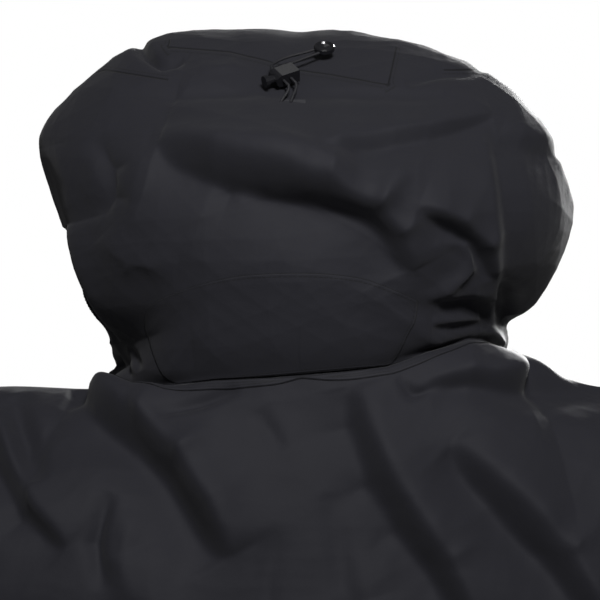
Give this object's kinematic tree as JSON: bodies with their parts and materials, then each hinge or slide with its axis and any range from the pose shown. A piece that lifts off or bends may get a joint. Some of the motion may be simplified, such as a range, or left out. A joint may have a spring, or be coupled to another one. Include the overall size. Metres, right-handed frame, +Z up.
{
  "type": "hooded hardshell jacket",
  "caption": "Hooded waterproof shell jacket, closed and hood up as worn, with zips, pull tabs, cuff tabs and a rear hood adjuster with a cord lock.",
  "frame": {"origin": "middle of the neck opening, level with the back neck seam, on the line the centre front and back share", "axes": "+Z up as worn, the wearer faces -Y, the wearer's left is +X"},
  "size_m": [0.8036, 0.2418, 0.9499],
  "materials": {
    "shell_laminate": "matt plain-weave three-layer laminate",
    "trim_laminate": "matt reinforced laminate",
    "webbing_and_tape": "coated zip tape and webbing",
    "lining": "brushed tricot",
    "cord": "braided shock cord",
    "hard_plastic": "moulded, satin to gloss"
  },
  "bodies": {
    "shell": {"back_panel": "shell_laminate", "chest_zip_tape": "webbing_and_tape", "chin_guard": "lining", "collar_left": "shell_laminate", "collar_right": "shell_laminate", "cuff_band_left": "trim_laminate", "cuff_band_right": "trim_laminate", "front_panel_left": "shell_laminate", "front_panel_right": "shell_laminate", "hand_zip_left_tape": "webbing_and_tape", "hand_zip_right_tape": "webbing_and_tape", "hanger_loop": "webbing_and_tape", "hem_band": "trim_laminate", "hood_brim": "trim_laminate", "hood_cheek_left": "shell_laminate", "hood_cheek_right": "shell_laminate", "hood_crown": "shell_laminate", "hood_main": "shell_laminate", "hood_neck_patch": "trim_laminate", "main_zip_tape_left": "webbing_and_tape", "main_zip_tape_right": "webbing_and_tape", "neck_facing": "trim_laminate", "rear_cord_a": "cord", "rear_cord_b": "cord", "rear_cord_end": "hard_plastic", "rear_cord_slit": "trim_laminate", "sleeve_left": "shell_laminate", "sleeve_right": "shell_laminate", "storm_flap": "lining", "vent_zip_left_tape": "webbing_and_tape", "vent_zip_right_tape": "webbing_and_tape"},
    "hand_zip_left_slider": {"hand_zip_left_slider": "hard_plastic"},
    "hand_zip_left_pull": {"hand_zip_left_pull": "hard_plastic"},
    "vent_zip_left_slider": {"vent_zip_left_slider": "hard_plastic"},
    "vent_zip_left_pull": {"vent_zip_left_pull": "hard_plastic"},
    "hand_zip_right_slider": {"hand_zip_right_slider": "hard_plastic"},
    "hand_zip_right_pull": {"hand_zip_right_pull": "hard_plastic"},
    "vent_zip_right_slider": {"vent_zip_right_slider": "hard_plastic"},
    "vent_zip_right_pull": {"vent_zip_right_pull": "hard_plastic"},
    "chest_zip_slider": {"chest_zip_slider": "hard_plastic"},
    "chest_zip_pull": {"chest_zip_pull": "hard_plastic"},
    "main_zip_slider": {"main_zip_slider": "hard_plastic"},
    "main_zip_pull": {"main_zip_pull": "hard_plastic"},
    "rear_lock_body": {"rear_lock_body": "hard_plastic"},
    "rear_lock_button": {"rear_lock_button": "hard_plastic"},
    "cuff_tab_left": {"cuff_tab_left": "webbing_and_tape"},
    "cuff_tab_right": {"cuff_tab_right": "webbing_and_tape"}
  },
  "joints": [
    {"name": "hand_zip_left_slide", "type": "slide", "parent": "shell", "child": "hand_zip_left_slider", "axis": [0.0029, 0.001, 1], "range_m": [-0.142, 0.004]},
    {"name": "hand_zip_left_pull_hinge", "type": "hinge", "parent": "hand_zip_left_slider", "child": "hand_zip_left_pull", "pos_m": [0.17003, -0.09677, -0.411], "axis": [-0.9409, -0.3387, 0.0031], "range_deg": [0, 120]},
    {"name": "vent_zip_left_slide", "type": "slide", "parent": "shell", "child": "vent_zip_left_slider", "axis": [0, 0, 1], "range_m": [-0.122, 0.004]},
    {"name": "vent_zip_left_pull_hinge", "type": "hinge", "parent": "vent_zip_left_slider", "child": "vent_zip_left_pull", "pos_m": [0.24748, 0, -0.421], "axis": [0, -1, 0], "range_deg": [0, 45]},
    {"name": "hand_zip_right_slide", "type": "slide", "parent": "shell", "child": "hand_zip_right_slider", "axis": [-0.0029, 0.001, 1], "range_m": [-0.142, 0.004]},
    {"name": "hand_zip_right_pull_hinge", "type": "hinge", "parent": "hand_zip_right_slider", "child": "hand_zip_right_pull", "pos_m": [-0.17003, -0.09677, -0.411], "axis": [-0.9409, 0.3387, -0.0031], "range_deg": [0, 120]},
    {"name": "vent_zip_right_slide", "type": "slide", "parent": "shell", "child": "vent_zip_right_slider", "axis": [0, 0, 1], "range_m": [-0.122, 0.004]},
    {"name": "vent_zip_right_pull_hinge", "type": "hinge", "parent": "vent_zip_right_slider", "child": "vent_zip_right_pull", "pos_m": [-0.24748, 0, -0.421], "axis": [0, 1, 0], "range_deg": [0, 45]},
    {"name": "chest_zip_slide", "type": "slide", "parent": "shell", "child": "chest_zip_slider", "axis": [0.004, 0.0004, 1], "range_m": [-0.122, 0.004]},
    {"name": "chest_zip_pull_hinge", "type": "hinge", "parent": "chest_zip_slider", "child": "chest_zip_pull", "pos_m": [0.09314, -0.11549, -0.101], "axis": [-0.995, -0.0995, 0.004], "range_deg": [0, 120]},
    {"name": "main_zip_slide", "type": "slide", "parent": "shell", "child": "main_zip_slider", "axis": [0, 0, 1], "range_m": [-0.724, 0.004]},
    {"name": "main_zip_pull_hinge", "type": "hinge", "parent": "main_zip_slider", "child": "main_zip_pull", "pos_m": [0, -0.1131, 0.003], "axis": [-1, 0, 0], "range_deg": [0, 120]},
    {"name": "rear_lock_travel", "type": "slide", "parent": "shell", "child": "rear_lock_body", "axis": [0.5127, -0.7174, 0.4716], "range_m": [-0.0025, 0.0025]},
    {"name": "rear_lock_press", "type": "slide", "parent": "rear_lock_body", "child": "rear_lock_button", "axis": [-0.8585, -0.4253, 0.2864], "range_m": [0, 0.003], "stiffness_N_per_m": 600, "springref_m": -0.004},
    {"name": "cuff_tab_left_hinge", "type": "hinge", "parent": "shell", "child": "cuff_tab_left", "pos_m": [0.35616, 0.04009, -0.687], "axis": [0, 0, -1], "range_deg": [0, 60]},
    {"name": "cuff_tab_right_hinge", "type": "hinge", "parent": "shell", "child": "cuff_tab_right", "pos_m": [-0.35616, 0.04009, -0.687], "axis": [0, 0, 1], "range_deg": [0, 60]}
  ]
}
